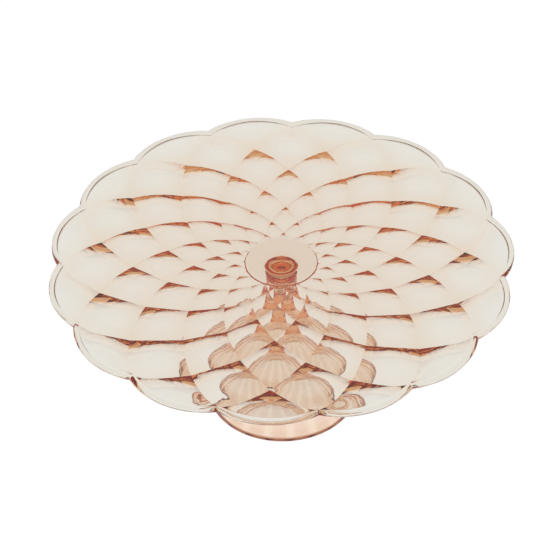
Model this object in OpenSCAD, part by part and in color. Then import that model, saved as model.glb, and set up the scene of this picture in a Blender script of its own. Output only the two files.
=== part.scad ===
// Footed glass cake stand whose scalloped plate turns on its pedestal.
// Millimetres. +Z is up, the origin is the centre of the foot's base on the table.

/* [Plate] */
// Overall diameter across the tips of opposite lobes
plate_d = 299.5; // [290:0.5:306]
// Radius of the notches between the lobes
notch_r = 143.3; // [139:0.1:146]
// Height of the plate's rim above the table
rim_z = 120; // [116:0.5:128]
// How far the plate's centre lies below its rim
dish = 4.5; // [3:0.1:6]
// Glass thickness at the rim
rim_t = 4.2; // [3.6:0.1:5]
// Glass thickness along the pattern's ridges and at the centre
ridge_t = 6.6; // [6:0.1:8]
// Radius of the flat centre disc
centre_r = 23.3; // [20:0.1:26]
// Half width of a scooped cell, as a share of its distance from the axis
scoop_share = 0.145; // [0.1:0.005:0.15]
// Depth of the outermost full scooped cells
scoop_depth = 2.2; // [1:0.1:2.4]

/* [Pivot] */
// Radius of the solid glass spigot under the plate
spigot_r = 5; // [4.5:0.1:5.5]
// Radius of the sweep from the plate's underside into the spigot
neck_sweep = 9.5; // [9:0.1:10]
// Distance from the plate's underside to the spigot's end
spigot_h = 22; // [20:0.5:24]
// Radial running clearance between spigot and cup
run_gap = 0.06; // [0.03:0.01:0.1]
// Wall of the pivot cup
cup_wall = 1; // [0.9:0.1:1.2]
// Thickness of the pivot cup's floor
cup_floor = 1.5; // [1:0.1:2]
// Radial running clearance between cup and socket
socket_gap = 0.06; // [0.03:0.01:0.1]
// Gap between the plate's underside and the top of the stem
neck_gap = 7; // [6.8:0.1:7.4]

/* [Foot] */
// Largest radius of the foot's base rim
foot_r = 51.2; // [49:0.1:54]
// Radius of the stem at its top
stem_top_r = 10; // [9.6:0.1:11]
// Number of flutes pressed into the bell
flutes = 20; // [16:1:22]
// Radius of the rounded flutes
flute_r = 14; // [12:0.5:15]
// Depth of the flutes half way up the bell's side
flute_depth = 1.4; // [1:0.1:1.6]

/* [Hidden] */
$fn = 96;
lobes = 15;
step = 360 / lobes;

// One lobe is an arc through two notches and the lobe's tip
tip_r = plate_d / 2;
nx = notch_r * cos(step / 2);
ny = notch_r * sin(step / 2);
lobe_c = (tip_r * tip_r - nx * nx - ny * ny) / (2 * (tip_r - nx));
lobe_rad = tip_r - lobe_c;

// First ring of the spiral diamond pattern, where the ridges cross inside the rim
ring_1 = 0.82;

function top_z(r) = rim_z - dish * (1 - pow(min(r, notch_r) / notch_r, 1.5));
function under_at(r) = top_z(r) - ridge_t + (ridge_t - rim_t) * pow(r / notch_r, 6);
centre_z = top_z(centre_r);
under_z = centre_z - ridge_t;          // flat underside at the centre
stem_z = under_z - neck_gap;           // top of the stem
spigot_z = under_z - spigot_h;         // end of the spigot, standing on the cup's floor
cup_r = spigot_r + run_gap + cup_wall;
cup_z = spigot_z - cup_floor;
socket_r = cup_r + socket_gap;

// Half section of the plate without its scoops
function plate_section() = concat(
    [[0, centre_z], [centre_r, centre_z]],
    [for (i = [1 : 9]) let (r = centre_r + (notch_r - centre_r) * i / 9) [r, top_z(r)]],
    [[tip_r + 5, rim_z], [tip_r + 5, rim_z - rim_t], [notch_r - 2, rim_z - rim_t - 0.3]],
    [for (i = [1 : 7]) let (r = notch_r - 2 - (notch_r - 2 - centre_r) * i / 7) [r, under_at(r)]],
    [[0, under_z]]
);

// Radius of the neck's sweep at a depth below the plate's underside
function neck_r(d) = spigot_r + neck_sweep - sqrt(pow(neck_sweep, 2) - pow(neck_sweep - min(d, neck_sweep), 2));

// One scooped cell: a spherical hollow under the plate at radius r
module scoop(r, a) {
    c = scoop_share * r;
    d = scoop_depth * r / ring_1 / notch_r;
    s = (c * c + d * d) / (2 * d);
    rotate(a) translate([r, 0, under_at(r) + d - s]) sphere(r = s, $fn = 160);
}

module plate_blank() {
    rotate_extrude($fn = 180) polygon(plate_section());
}

// The blank trimmed to its scalloped outline: the round middle and one disc for each lobe
module trimmed_blank() {
    intersection() {
        plate_blank();
        translate([0, 0, rim_z - 40]) cylinder(h = 60, r = notch_r * 0.985, $fn = 180);
    }
    for (i = [0 : lobes - 1])
        intersection() {
            plate_blank();
            rotate(-90 + i * step) translate([lobe_c, 0, rim_z - 40]) cylinder(h = 60, r = lobe_rad, $fn = 128);
        }
}

module cake_plate() {
    color([0.90, 0.80, 0.74, 0.5]) {
        difference() {
            trimmed_blank();
            for (i = [0 : lobes - 1]) scoop(ring_1 * notch_r, -90 + (i + 0.5) * step);
        }
        // the neck sweeps from the underside into a solid spigot
        rotate_extrude($fn = 128) polygon(concat(
            [[0, under_z + 1], [spigot_r + neck_sweep, under_z + 1]],
            [for (i = [0 : 10]) let (d = neck_sweep * (1 - cos(i * 9))) [neck_r(d), under_z - d]],
            [[spigot_r, spigot_z + 0.8], [spigot_r - 0.8, spigot_z], [0, spigot_z]]
        ));
    }
}

module pivot_cup() {
    ri = spigot_r + run_gap;
    color([0.93, 0.90, 0.87, 0.5])
        rotate_extrude($fn = 128) polygon([
            [0, cup_z], [cup_r - 0.4, cup_z], [cup_r, cup_z + 0.4], [cup_r, stem_z], [cup_r + 1.5, stem_z],
            [cup_r + 1.5, stem_z + 0.8], [neck_r(neck_gap - 0.8) + 0.5, stem_z + 0.8], [neck_r(neck_gap) + 0.4, stem_z],
            [neck_r(neck_gap + 1.6) + 0.3, stem_z - 1.6], [ri, stem_z - 3], [ri, spigot_z], [0, spigot_z]
        ]);
}

// Outer half section of the foot, from its resting ring up to the stem's top
function foot_outer() = [
    [foot_r - 0.5, 0], [foot_r, 0.5], [foot_r, 2.9], [foot_r - 0.6, 4.5], [49.9, 6.9],
    [49, 9.5], [47.3, 13.5], [44.8, 19], [41.4, 25], [37, 31], [31.3, 37], [25, 43], [19.4, 49.5], [15.4, 57], [12.7, 66],
    [11, 77], [10.2, 88], [stem_top_r, stem_z - 5], [stem_top_r, stem_z - 1], [stem_top_r - 1, stem_z]
];

// Hollow inside of the bell
function foot_inner() = [
    [46.8, 0], [45.1, 4.5], [43.5, 9], [41.4, 14], [38.3, 20], [34.2, 26.5], [29, 33], [22.8, 39], [16.4, 45], [10.8, 51.5], [6.6, 58], [3.4, 62.5], [0, 65]
];

// The bell's side leans inwards by this angle; the flutes lie along it
side_lean = 28;

// One flute: a long round hollow along the bell's side, deepest half way up
module flute_cut(i) {
    out = flute_r - flute_depth + 1.15;
    rotate(i * 360 / flutes)
        translate([43.5 + out * cos(side_lean), 0, 19 + out * sin(side_lean)])
            rotate([0, -side_lean, 0]) cylinder(h = 44, r = flute_r, center = true, $fn = 96);
}

module pedestal_foot() {
    color([0.90, 0.78, 0.70, 0.5])
        difference() {
            rotate_extrude($fn = 160) polygon(concat(foot_outer(), [[0, stem_z]], [for (i = [12 : -1 : 0]) foot_inner()[i]]));
            translate([0, 0, cup_z]) cylinder(h = stem_z - cup_z + 1, r = socket_r, $fn = 128);
            for (i = [0 : flutes - 1]) flute_cut(i);
        }
}

cake_plate();
pivot_cup();
pedestal_foot();
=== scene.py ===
import math
import bpy
import numpy as np
from mathutils import Matrix, Vector


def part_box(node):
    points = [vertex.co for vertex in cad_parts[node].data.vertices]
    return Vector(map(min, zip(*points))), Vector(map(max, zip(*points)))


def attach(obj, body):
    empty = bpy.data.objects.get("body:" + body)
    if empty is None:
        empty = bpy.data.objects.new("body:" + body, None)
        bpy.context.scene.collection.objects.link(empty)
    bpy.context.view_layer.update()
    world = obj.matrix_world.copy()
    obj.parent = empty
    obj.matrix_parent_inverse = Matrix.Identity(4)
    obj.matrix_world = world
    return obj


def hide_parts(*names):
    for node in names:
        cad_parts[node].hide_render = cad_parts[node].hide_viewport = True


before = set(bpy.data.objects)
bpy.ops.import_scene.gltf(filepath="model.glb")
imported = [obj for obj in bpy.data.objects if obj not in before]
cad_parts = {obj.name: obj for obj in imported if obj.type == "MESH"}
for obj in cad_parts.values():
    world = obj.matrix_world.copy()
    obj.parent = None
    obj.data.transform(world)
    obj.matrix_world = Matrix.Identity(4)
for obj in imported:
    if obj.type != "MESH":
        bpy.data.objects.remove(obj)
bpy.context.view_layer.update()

scene = bpy.context.scene
MM = 0.001


# ---------------------------------------------------------------- sizes, read from the frame where it has them
plate_lo, plate_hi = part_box("cake_plate")
foot_lo, foot_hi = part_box("pedestal_foot")
cup_lo, cup_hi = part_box("pivot_cup")
RIM_Z = plate_hi.z / MM              # top of the rim
STEM_Z = foot_hi.z / MM              # top of the stem
SPIGOT_Z = plate_lo.z / MM           # lower end of the plate's spigot
UNDER_Z = SPIGOT_Z + 22.0            # flat underside of the plate at its centre
CUP_Z = cup_lo.z / MM                # floor of the socket
FOOT_R = foot_hi.x / MM
NOTCH_R = 143.3
TIP_R = 149.7
DISH = 4.5
DISC_R = 23.3
SPIGOT_R = 5.0
SWEEP = 9.5
CUP_R = SPIGOT_R + 1.06
LOBES = 15

_a = math.pi / LOBES
_nx, _ny = NOTCH_R * math.cos(_a), NOTCH_R * math.sin(_a)
LOBE_C = (TIP_R ** 2 - _nx ** 2 - _ny ** 2) / (2 * (TIP_R - _nx))
LOBE_RAD = TIP_R - LOBE_C


# ---------------------------------------------------------------- mesh helpers
def make_object(name, verts, faces, sharp=None, smooth=True):
    """A mesh object from vertices in millimetres and a list of face index arrays."""
    me = bpy.data.meshes.new(name)
    v = np.asarray(verts, float) * MM
    polys = []
    for f in faces:
        f = np.asarray(f, np.int64)
        if len(f):
            polys.append(f)
    loops = np.concatenate([p.ravel() for p in polys])
    sizes = np.concatenate([np.full(len(p), p.shape[1]) for p in polys])
    starts = np.concatenate([[0], np.cumsum(sizes)[:-1]])
    me.vertices.add(len(v))
    me.vertices.foreach_set("co", v.ravel())
    me.loops.add(len(loops))
    me.loops.foreach_set("vertex_index", loops.astype(np.int32))
    me.polygons.add(len(sizes))
    me.polygons.foreach_set("loop_start", starts.astype(np.int32))
    me.polygons.foreach_set("loop_total", sizes.astype(np.int32))
    me.polygons.foreach_set("use_smooth", np.full(len(sizes), smooth))
    me.update(calc_edges=True)
    me.validate()
    if sharp is not None:
        e = np.zeros(len(me.edges) * 2, np.int32)
        me.edges.foreach_get("vertices", e)
        mask = sharp(e.reshape(-1, 2))
        at = me.attributes.get("sharp_edge") or me.attributes.new("sharp_edge", "BOOLEAN", "EDGE")
        at.data.foreach_set("value", mask.astype(bool))
    ob = bpy.data.objects.new(name, me)
    scene.collection.objects.link(ob)
    return ob


def ring_faces(a, b, n, flip=None):
    """Faces between ring a and ring b (first vertex numbers) of n vertices each. flip marks quads cut on the other diagonal."""
    i = np.arange(n)
    k = (i + 1) % n
    if flip is None:
        return np.stack([a + i, b + i, b + k, a + k], 1)
    t1 = np.where(flip[:, None], np.stack([a + i, b + i, a + k], 1), np.stack([a + i, b + i, b + k], 1))
    t2 = np.where(flip[:, None], np.stack([a + k, b + i, b + k], 1), np.stack([a + i, b + k, a + k], 1))
    return np.concatenate([t1, t2])


# ---------------------------------------------------------------- the plate
NSUB = 18                         # grid steps in half a lobe
NT = 2 * NSUB * LOBES
TH = np.radians(-90 + 12) + np.arange(NT) * math.radians(12.0 / NSUB)
_rings = np.array([143.3, 117.5, 94.7, 75.4, 56.3, 41.0, 30.1])
_mu = np.arange(len(_rings))
_fit = np.linalg.lstsq(np.stack([_mu, _mu ** 2, _mu ** 3], 1), np.log(_rings / NOTCH_R), rcond=None)[0]


def ring_r(mu):
    return NOTCH_R * np.exp(_fit[0] * mu + _fit[1] * mu ** 2 + _fit[2] * mu ** 3)


def outline(delta):
    """Radius of the scalloped outline at each grid angle, moved inwards by delta."""
    t = (np.arange(NT) % (2 * NSUB)) * (12.0 / NSUB) - 12.0
    t = np.radians(t)
    rad = LOBE_RAD - delta
    return LOBE_C * np.cos(t) + np.sqrt(rad ** 2 - (LOBE_C * np.sin(t)) ** 2)


def top_z(r):
    return RIM_Z - DISH * (1 - np.clip(r / NOTCH_R, 0, 1) ** 1.5)


def ring_xyz(r, z):
    r = np.broadcast_to(r, (NT,))
    z = np.broadcast_to(z, (NT,))
    return np.stack([r * np.cos(TH), r * np.sin(TH), z], 1)


BEAD = 2.05                       # radius of the rounded bead round the rim
EDGE = 4.0                        # where the bead meets the underside, in from the outline
SCOOP = 0.0195                    # ridge height above the scoops, as a share of the radius


def middle_t(mu):
    return 3.0 + 0.50 * np.clip(mu, 0, 4.5)


def ridge_h(mu, r):
    s = SCOOP * r
    return s * (0.30 + 0.70 * np.clip(mu, 0, 1) ** 0.8)


def under(mu, j, r):
    i = np.arange(NT)
    al = ((i - j) % (2 * NSUB)) / (2 * NSUB) - 0.5
    be = ((i + j) % (2 * NSUB)) / (2 * NSUB) - 0.5
    f = 4 * (al ** 2 + be ** 2)
    return top_z(r) - middle_t(mu) - ridge_h(mu, r) * f


def build_plate():
    rings, faces, tri_bands = [], [], []
    r_edge = outline(EDGE)
    r_top = outline(BEAD)
    # top, from the centre outwards
    for r in (DISC_R * 0.35, DISC_R * 0.7, DISC_R - 0.6, DISC_R, DISC_R + 0.6):
        rings.append(ring_xyz(r, top_z(np.array(DISC_R)) if r <= DISC_R else top_z(np.array(r))))
    for q in np.linspace(0, 1, 13)[1:]:
        base = DISC_R + 0.6 + (NOTCH_R - DISC_R - 0.6) * q
        w = max(0.0, (q - 0.72) / 0.28) ** 1.5
        r = base + (r_top - NOTCH_R) * w
        rings.append(ring_xyz(r, top_z(r)))
    # beaded rim: over the edge, then in under it to the web
    z_c = rings[-1][:, 2] - BEAD
    for k in range(1, 11):
        psi = math.pi * k / 10
        rings.append(ring_xyz(outline(BEAD * (1 - math.sin(psi))), z_c + BEAD * math.cos(psi)))
    z_end = under(0.0, 0, r_edge)
    last = math.asin((EDGE - BEAD) / BEAD)
    for k in range(1, 4):
        q = k / 4
        z = z_c - BEAD * math.cos(last * q)
        join = z_end - (z_c - BEAD * math.cos(last))
        rings.append(ring_xyz(outline(BEAD * (1 + math.sin(last * q))), z + join * q * q * (3 - 2 * q)))
    # underside, from the rim inwards along the pattern
    first_under = len(rings)
    j = 0
    js = []
    while True:
        mu = j / NSUB
        base = ring_r(mu)
        if base < DISC_R + 0.7:
            break
        w = max(0.0, 1 - mu) ** 1.6
        r = base + (r_edge - NOTCH_R) * w
        rings.append(ring_xyz(r, under(mu, j, r)))
        js.append(j)
        j += 1
    last_under = len(rings) - 1
    zs = rings[-1][:, 2]
    rings.append(ring_xyz(DISC_R + 0.25, zs - 0.05))
    flat = UNDER_Z + 0.3
    rings.append(ring_xyz(DISC_R, zs * 0.4 + flat * 0.6))
    rings.append(ring_xyz(DISC_R - 0.25, flat))
    for r in (DISC_R - 1, 20, 17.5, SPIGOT_R + SWEEP + 0.5):
        rings.append(ring_xyz(r, flat))
    for k in range(0, 15):
        psi = math.pi / 2 * k / 14
        rings.append(ring_xyz(SPIGOT_R + SWEEP * (1 - math.sin(psi)), flat - (SWEEP + 0.3) * (1 - math.cos(psi))))
    for z in (UNDER_Z - 12, UNDER_Z - 16, SPIGOT_Z + 0.8):
        rings.append(ring_xyz(SPIGOT_R, z))
    for k in range(1, 5):
        psi = math.pi / 2 * k / 4
        rings.append(ring_xyz(SPIGOT_R - 0.8 * (1 - math.cos(psi)), SPIGOT_Z + 0.8 - 0.8 * math.sin(psi)))
    rings.append(ring_xyz(2.2, SPIGOT_Z))
    # vertices: top pole, rings, bottom pole
    verts = [np.array([[0, 0, top_z(np.array(DISC_R))]])] + rings + [np.array([[0, 0, SPIGOT_Z]])]
    first = [1 + NT * k for k in range(len(rings))]
    i = np.arange(NT)
    kk = (i + 1) % NT
    faces.append(np.stack([np.zeros(NT, int), 1 + i, 1 + kk], 1))
    for k in range(len(rings) - 1):
        if first_under <= k < last_under:
            jj = js[k - first_under]
            flip = (i + 1 + jj) % (2 * NSUB) == 0
            # keep every cell's own triangles mirror-symmetric
            faces.append(ring_faces(first[k], first[k + 1], NT, flip))
        else:
            faces.append(ring_faces(first[k], first[k + 1], NT))
    end = 1 + NT * len(rings)
    faces.append(np.stack([first[-1] + i, np.full(NT, end), first[-1] + kk], 1))

    def sharp(e):
        a, b = np.minimum(e[:, 0], e[:, 1]), np.maximum(e[:, 0], e[:, 1])
        ra, ia = (a - 1) // NT, (a - 1) % NT
        rb, ib = (b - 1) // NT, (b - 1) % NT
        ok = (ra >= first_under) & (rb <= last_under) & (rb == ra + 1)
        j0 = ra - first_under
        d = (ib - ia + NT) % NT
        fa = (d == 1) & ((ia - j0) % (2 * NSUB) == 0)
        fb = (d == NT - 1) & ((ia + j0) % (2 * NSUB) == 0)
        m = ok & (fa | fb)
        return m

    return make_object("glass_plate", np.concatenate(verts), [f for f in faces], sharp)


# ---------------------------------------------------------------- the cup
def lathe(name, prof, n, start=0.0, closed=True, mod=None):
    """A closed body of revolution round Z. prof goes round the section, outer side upwards. mod changes the radius by angle."""
    th = start + np.arange(n) * 2 * math.pi / n
    rings = []
    for k, (r, z) in enumerate(prof):
        rr = np.full(n, float(r))
        zz = np.full(n, float(z))
        if mod is not None:
            rr, zz = mod(k, rr, zz, th)
        rings.append(np.stack([rr * np.cos(th), rr * np.sin(th), zz], 1))
    verts = np.concatenate(rings)
    faces = []
    m = len(prof)
    for k in range(m if closed else m - 1):
        a, b = n * k, n * ((k + 1) % m)
        faces.append(ring_faces(b, a, n))
    return verts, faces


def neck_r(d):
    d = min(d, SWEEP)
    return SPIGOT_R + SWEEP - math.sqrt(SWEEP ** 2 - (SWEEP - d) ** 2)


def build_cup():
    ri, ro, st = SPIGOT_R + 0.06, CUP_R, STEM_Z
    # hair-thin gaps, so that no two faces lie in one plane
    fz = SPIGOT_Z - 0.04
    cz = CUP_Z + 0.04
    fl = st + 0.04
    prof = [(1.5, cz), (ro - 0.4, cz), (ro - 0.1, cz + 0.1), (ro, cz + 0.4), (ro, (CUP_Z + st) / 2), (ro, st - 0.1), (ro + 0.1, fl),
            (ro + 1.3, fl), (ro + 1.5, st + 0.18), (ro + 1.5, st + 0.65), (ro + 1.35, st + 0.8),
            (neck_r(6.2) + 0.62, st + 0.8), (neck_r(7.0) + 0.42, st), (neck_r(8.6) + 0.32, st - 1.6), (ri + 0.02, st - 2.9), (ri, st - 3.1),
            (ri, (fz + st) / 2), (ri, fz + 0.3), (ri - 0.3, fz), (1.5, fz)]
    v, f = lathe("cup", prof, 96, closed=False)
    n = 96
    i = np.arange(n)
    k = (i + 1) % n
    c0, c1 = len(v), len(v) + 1
    v = np.concatenate([v, [[0, 0, cz], [0, 0, fz]]])
    last = n * (len(prof) - 1)
    f.append(np.stack([np.full(n, c0), k, i], 1))
    f.append(np.stack([last + i, last + k, np.full(n, c1)], 1))
    return make_object("clear_pivot_cup", v, f)


# ---------------------------------------------------------------- the foot
FLUTES = 20
FLUTE_DEPTH = 1.6


def catmull(points, per):
    p = np.array(points, float)
    out = []
    for k in range(len(p) - 1):
        p0 = p[max(k - 1, 0)]
        p1, p2 = p[k], p[k + 1]
        p3 = p[min(k + 2, len(p) - 1)]
        for s in range(per):
            t = s / per
            out.append(0.5 * ((2 * p1) + (-p0 + p2) * t + (2 * p0 - 5 * p1 + 4 * p2 - p3) * t * t + (-p0 + 3 * p1 - 3 * p2 + p3) * t ** 3))
    out.append(p[-1])
    return [tuple(q) for q in out]


def build_foot():
    sr = CUP_R + 0.06
    outer = [(47.2, 0.0), (48.4, 0.0), (50.6, 0.0), (50.9, 0.03), (51.1, 0.14), (51.19, 0.32), (51.2, 0.5), (51.2, 1.6), (51.2, 2.9), (51.18, 3.15), (51.0, 3.6), (50.6, 4.6), (49.9, 6.9)]
    bell = catmull([(49.9, 6.9), (49.0, 9.5), (47.3, 13.5), (44.8, 19.0), (41.4, 25.0), (37.0, 31.0), (31.3, 37.0), (25.0, 43.0), (19.4, 49.5),
                    (15.4, 57.0), (12.7, 66.0), (11.0, 77.0), (10.2, 88.0), (10.0, STEM_Z - 5.0), (10.0, STEM_Z - 1.6)], 4)
    top = [(9.95, STEM_Z - 1.0), (9.7, STEM_Z - 0.4), (9.2, STEM_Z - 0.08), (8.8, STEM_Z), (sr + 0.2, STEM_Z), (sr, STEM_Z - 0.2)]
    sock = [(sr, STEM_Z - 8), (sr, CUP_Z + 0.2), (sr - 0.05, CUP_Z + 0.05), (sr - 0.2, CUP_Z), (3.0, CUP_Z)]
    n = FLUTES * 24
    th = np.arange(n) * 2 * math.pi / n
    sect = outer + bell[1:] + top + sock
    # across a flute: 0 at its middle, 1 at the ridge between two flutes
    c = np.abs(((np.arange(n) % 24) + 12) % 24 - 12) / 12.0
    hollow = 1 - c ** 2

    def depth(z):
        # flutes start just above the base rim and die out up the stem
        lo = np.clip((z - 4.6) / 3.6, 0, 1)
        hi = np.clip((66 - z) / 30, 0, 1)
        return FLUTE_DEPTH * lo * lo * (3 - 2 * lo) * hi * hi * (3 - 2 * hi)

    rings = []
    for k, (r, z) in enumerate(sect):
        rr = np.full(n, float(r))
        if z < 70 and len(outer) - 4 <= k:
            rr = rr - depth(z) * min(1.0, r / 40) * hollow
        rings.append(np.stack([rr * np.cos(th), rr * np.sin(th), np.full(n, float(z))], 1))
    m_out = len(rings)
    inner = catmull([(46.7, 0.3), (45.1, 4.5), (43.5, 9.0), (41.4, 14.0), (38.3, 20.0), (34.2, 26.5), (29.0, 33.0), (22.8, 39.0), (16.4, 45.0), (10.8, 51.5), (6.6, 58.0), (3.4, 62.5), (1.4, 64.5)], 4)
    inner = [(46.85, 0.0)] + inner
    for (r, z) in inner:
        rr = np.full(n, float(r))
        rings.append(np.stack([rr * np.cos(th), rr * np.sin(th), np.full(n, float(z))], 1))
    verts = np.concatenate(rings + [np.array([[0, 0, CUP_Z]]), np.array([[0, 0, 65.0]])])
    faces = []
    for k in range(m_out - 1):
        faces.append(ring_faces(n * (k + 1), n * k, n))
    # underside of the base ring joins the first outer ring to the first inner ring
    faces.append(ring_faces(0, n * m_out, n))
    for k in range(m_out, len(rings) - 1):
        faces.append(ring_faces(n * k, n * (k + 1), n))
    i = np.arange(n)
    kk = (i + 1) % n
    c_sock, c_in = n * len(rings), n * len(rings) + 1
    a = n * (m_out - 1)
    faces.append(np.stack([a + i, a + kk, np.full(n, c_sock)], 1))
    a = n * (len(rings) - 1)
    faces.append(np.stack([a + i, np.full(n, c_in), a + kk], 1))
    return make_object("glass_foot", verts, faces)


# ---------------------------------------------------------------- materials
def glass(name, density, tint, base=(1, 1, 1), ior=1.52, rough=0.0, bump=0.0, scale=90.0):
    """Tinted glass: a clear surface over an absorbing volume, with a faint waviness."""
    m = bpy.data.materials.new(name)
    m.use_nodes = True
    nt = m.node_tree
    nt.nodes.clear()
    out = nt.nodes.new("ShaderNodeOutputMaterial")
    p = nt.nodes.new("ShaderNodeBsdfPrincipled")
    p.inputs["Base Color"].default_value = (*base, 1)
    p.inputs["Roughness"].default_value = rough
    p.inputs["IOR"].default_value = ior
    p.inputs["Transmission Weight"].default_value = 1.0
    nt.links.new(p.outputs["BSDF"], out.inputs["Surface"])
    v = nt.nodes.new("ShaderNodeVolumeAbsorption")
    v.inputs["Color"].default_value = (*tint, 1)
    v.inputs["Density"].default_value = density
    nt.links.new(v.outputs["Volume"], out.inputs["Volume"])
    if bump:
        tc = nt.nodes.new("ShaderNodeTexCoord")
        no = nt.nodes.new("ShaderNodeTexNoise")
        no.inputs["Scale"].default_value = scale
        no.inputs["Detail"].default_value = 1.5
        bp = nt.nodes.new("ShaderNodeBump")
        bp.inputs["Strength"].default_value = bump
        bp.inputs["Distance"].default_value = 0.001
        nt.links.new(tc.outputs["Object"], no.inputs["Vector"])
        nt.links.new(no.outputs["Fac"], bp.inputs["Height"])
        nt.links.new(bp.outputs["Normal"], p.inputs["Normal"])
    return m


def math_node(nt, op, a, b=None):
    n = nt.nodes.new("ShaderNodeMath")
    n.operation = op
    for k, v in enumerate((a, b)):
        if v is None:
            continue
        if isinstance(v, (int, float)):
            n.inputs[k].default_value = v
        else:
            nt.links.new(v, n.inputs[k])
    return n.outputs[0]


def foot_tint_and_painted_light(m):
    """The foot's tint, with painted light: a deep orange-brown painted shade on the outer face of the base ring, and
    pale painted highlight streaks along the flute ridges above it.
    """
    nt = m.node_tree
    p = next(n for n in nt.nodes if n.type == "BSDF_PRINCIPLED")
    tc = nt.nodes.new("ShaderNodeTexCoord")
    sp = nt.nodes.new("ShaderNodeSeparateXYZ")
    nt.links.new(tc.outputs["Object"], sp.inputs["Vector"])
    ang = math_node(nt, "ARCTAN2", sp.outputs["Y"], sp.outputs["X"])
    wave = math_node(nt, "COSINE", math_node(nt, "MULTIPLY", ang, float(FLUTES)))
    ridge = math_node(nt, "MULTIPLY_ADD", wave, -0.5)
    ridge.node.inputs[2].default_value = 0.5
    ridge = math_node(nt, "POWER", ridge, 3.0)
    # painted highlight: paler colour along each flute ridge stands in for streaks of reflected light
    painted_streak_highlight = nt.nodes.new("ShaderNodeValToRGB")
    painted_streak_highlight.color_ramp.elements[0].position, painted_streak_highlight.color_ramp.elements[0].color = 0.0, (0.91, 0.80, 0.745, 1)
    painted_streak_highlight.color_ramp.elements[1].position, painted_streak_highlight.color_ramp.elements[1].color = 0.9, (0.98, 0.93, 0.90, 1)
    nt.links.new(ridge, painted_streak_highlight.inputs["Fac"])
    # 1 in the base ring, 0 above it: the mask of the painted shade at the base ring
    low = nt.nodes.new("ShaderNodeMapRange")
    low.inputs["From Min"].default_value = 0.0032
    low.inputs["From Max"].default_value = 0.0040
    low.inputs["To Min"].default_value = 1.0
    low.inputs["To Max"].default_value = 0.0
    nt.links.new(sp.outputs["Z"], low.inputs["Value"])
    rr = math_node(nt, "SQRT", math_node(nt, "ADD", math_node(nt, "MULTIPLY", sp.outputs["X"], sp.outputs["X"]),
                                         math_node(nt, "MULTIPLY", sp.outputs["Y"], sp.outputs["Y"])))
    painted_base_shade = math_node(nt, "MULTIPLY", low.outputs["Result"], math_node(nt, "GREATER_THAN", rr, 0.0500))
    # the painted highlight streaks die out up the stem
    high = nt.nodes.new("ShaderNodeMapRange")
    high.inputs["From Min"].default_value = 0.030
    high.inputs["From Max"].default_value = 0.060
    high.inputs["To Min"].default_value = 1.0
    high.inputs["To Max"].default_value = 0.0
    nt.links.new(sp.outputs["Z"], high.inputs["Value"])
    a = nt.nodes.new("ShaderNodeMix")
    a.data_type = "RGBA"
    a.inputs[6].default_value = (0.93, 0.85, 0.79, 1)
    nt.links.new(high.outputs["Result"], a.inputs[0])
    nt.links.new(painted_streak_highlight.outputs["Color"], a.inputs[7])
    b = nt.nodes.new("ShaderNodeMix")
    b.data_type = "RGBA"
    # painted shade: deep orange-brown on the base ring's outer face, standing in for the dark line where the ring meets
    # the floor
    b.inputs[7].default_value = (0.36, 0.13, 0.055, 1)
    nt.links.new(painted_base_shade, b.inputs[0])
    # the skirt just above the base ring is a little deeper, darker towards the bottom
    skirt = nt.nodes.new("ShaderNodeMapRange")
    skirt.inputs["From Min"].default_value = 0.009
    skirt.inputs["From Max"].default_value = 0.020
    skirt.inputs["To Min"].default_value = 1.0
    skirt.inputs["To Max"].default_value = 0.0
    nt.links.new(sp.outputs["Z"], skirt.inputs["Value"])
    d = nt.nodes.new("ShaderNodeMix")
    d.data_type = "RGBA"
    d.blend_type = "MULTIPLY"
    d.inputs[7].default_value = (0.93, 0.87, 0.80, 1)
    nt.links.new(skirt.outputs["Result"], d.inputs[0])
    nt.links.new(a.outputs[2], d.inputs[6])
    nt.links.new(d.outputs[2], b.inputs[6])
    nt.links.new(b.outputs[2], p.inputs["Base Color"])


def tint_plate(m):
    """The plate's tint deepens from the rim towards the thick centre disc."""
    nt = m.node_tree
    p = next(n for n in nt.nodes if n.type == "BSDF_PRINCIPLED")
    tc = nt.nodes.new("ShaderNodeTexCoord")
    sp = nt.nodes.new("ShaderNodeSeparateXYZ")
    nt.links.new(tc.outputs["Object"], sp.inputs["Vector"])
    rr = math_node(nt, "SQRT", math_node(nt, "ADD", math_node(nt, "MULTIPLY", sp.outputs["X"], sp.outputs["X"]),
                                         math_node(nt, "MULTIPLY", sp.outputs["Y"], sp.outputs["Y"])))
    mr = nt.nodes.new("ShaderNodeMapRange")
    mr.inputs["From Min"].default_value = 0.0
    mr.inputs["From Max"].default_value = 0.150
    nt.links.new(rr, mr.inputs["Value"])
    cr = nt.nodes.new("ShaderNodeValToRGB")
    cr.color_ramp.elements[0].position, cr.color_ramp.elements[0].color = 0.154, (0.735, 0.70, 0.67, 1)
    cr.color_ramp.elements[1].position, cr.color_ramp.elements[1].color = 0.92, (0.79, 0.82, 0.815, 1)
    for at, col in ((0.158, (0.77, 0.765, 0.745)), (0.55, (0.785, 0.79, 0.775))):
        e = cr.color_ramp.elements.new(at)
        e.color = (*col, 1)
    nt.links.new(mr.outputs["Result"], cr.inputs["Fac"])
    nt.links.new(cr.outputs["Color"], p.inputs["Base Color"])


rose = glass("rose_pressed_glass", 50.0, (0.96, 0.56, 0.10), base=(0.80, 0.83, 0.81), bump=0.12)
tint_plate(rose)
rose_foot = glass("rose_pressed_glass_foot", 50.0, (0.95, 0.54, 0.12), bump=0.15)
foot_tint_and_painted_light(rose_foot)
clear = glass("clear_cup_material", 6.0, (0.8, 0.7, 0.6), ior=1.49, bump=0.05)

plate = build_plate()
plate.data.materials.append(rose)
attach(plate, "plate")
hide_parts("cake_plate")

foot = build_foot()
foot.data.materials.append(rose_foot)
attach(foot, "foot")
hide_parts("pedestal_foot")

cup = build_cup()
cup.data.materials.append(clear)
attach(cup, "pivot")
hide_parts("pivot_cup")


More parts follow.
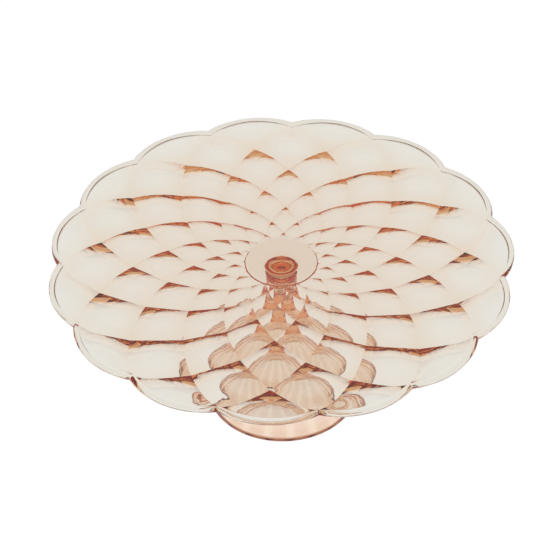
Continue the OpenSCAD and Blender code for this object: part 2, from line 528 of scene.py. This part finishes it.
# ---------------------------------------------------------------- floor, light, camera
def plane(name, half, z):
    me = bpy.data.meshes.new(name)
    me.from_pydata([(-half, -half, z), (half, -half, z), (half, half, z), (-half, half, z)], [], [(0, 1, 2, 3)])
    ob = bpy.data.objects.new(name, me)
    scene.collection.objects.link(ob)
    return ob


floor = plane("floor", 12.0, -0.0004)
fm = bpy.data.materials.new("white_sweep")
fm.use_nodes = True
nt = fm.node_tree
nt.nodes.clear()
out = nt.nodes.new("ShaderNodeOutputMaterial")
em = nt.nodes.new("ShaderNodeEmission")
em.inputs["Color"].default_value = (1, 1, 1, 1)
em.inputs["Strength"].default_value = 1.02
nt.links.new(em.outputs[0], out.inputs["Surface"])
floor.data.materials.append(fm)

world = bpy.data.worlds.new("studio")
scene.world = world
world.use_nodes = True
wn = world.node_tree
bg = wn.nodes["Background"] if "Background" in wn.nodes else wn.nodes.new("ShaderNodeBackground")
bg.inputs["Strength"].default_value = 1.0
# white near the horizon, a soft grey room above
wt = wn.nodes.new("ShaderNodeTexCoord")
ws = wn.nodes.new("ShaderNodeSeparateXYZ")
wr = wn.nodes.new("ShaderNodeValToRGB")
wn.links.new(wt.outputs["Generated"], ws.inputs["Vector"])
wn.links.new(ws.outputs["Z"], wr.inputs["Fac"])
wn.links.new(wr.outputs["Color"], bg.inputs["Color"])
cr = wr.color_ramp
cr.elements[0].position, cr.elements[0].color = 0.0, (1, 1, 1, 1)
cr.elements[1].position, cr.elements[1].color = 1.0, (0.75, 0.75, 0.75, 1)
for at, v in ((0.10, 1.0), (0.30, 0.85), (0.60, 0.52)):
    el = cr.elements.new(at)
    el.color = (v, v, v, 1)


def soft_light(name, size, loc, target, watts):
    li = bpy.data.lights.new(name, "AREA")
    li.shape = "RECTANGLE"
    li.size, li.size_y = size
    li.energy = watts
    ob = bpy.data.objects.new(name, li)
    scene.collection.objects.link(ob)
    ob.location = loc
    d = Vector(target) - Vector(loc)
    ob.rotation_euler = d.to_track_quat("-Z", "Y").to_euler()
    return ob


soft_light("overhead", (2.6, 1.6), (0.2, 1.9, 2.4), (0, 0, 0.1), 4)


def aim_camera():
    f, dist, el, roll = 1805.5, 8.065 * NOTCH_R * MM, math.radians(40.52), math.radians(-0.82)
    az = math.radians(3.65)
    px, py = 281.1, 253.8
    c = Vector((math.sin(az) * math.cos(el), -math.cos(az) * math.cos(el), math.sin(el))) * dist
    fwd = -c.normalized()
    right = Vector((math.cos(az), math.sin(az), 0))
    up = right.cross(fwd)
    r2 = math.cos(roll) * right + math.sin(roll) * up
    u2 = -math.sin(roll) * right + math.cos(roll) * up
    # turn the camera so that the plate's centre falls where it should, with no lens shift
    dx, dy = (px - 280) / f, (280 - py) / f
    view = (fwd - dx * r2 - dy * u2).normalized()
    r3 = (r2 - view * r2.dot(view)).normalized()
    u3 = r3.cross(view)
    cam = bpy.data.cameras.new("camera")
    cam.sensor_width = 36.0
    cam.sensor_fit = "HORIZONTAL"
    cam.lens = f / 560 * 36.0
    cam.clip_start, cam.clip_end = 0.01, 100
    ob = bpy.data.objects.new("camera", cam)
    scene.collection.objects.link(ob)
    m = Matrix((r3, u3, -view)).transposed().to_4x4()
    m.translation = Vector((0, 0, RIM_Z * MM)) + c
    ob.matrix_world = m
    scene.camera = ob


aim_camera()

cy = scene.cycles
cy.max_bounces = 48
cy.transmission_bounces = 48
cy.glossy_bounces = 12
cy.diffuse_bounces = 3
cy.transparent_max_bounces = 24
cy.caustics_refractive = True
cy.caustics_reflective = True
cy.sample_clamp_indirect = 6.0
cy.use_denoising = True
scene.view_settings.view_transform = "Standard"
scene.view_settings.look = "None"
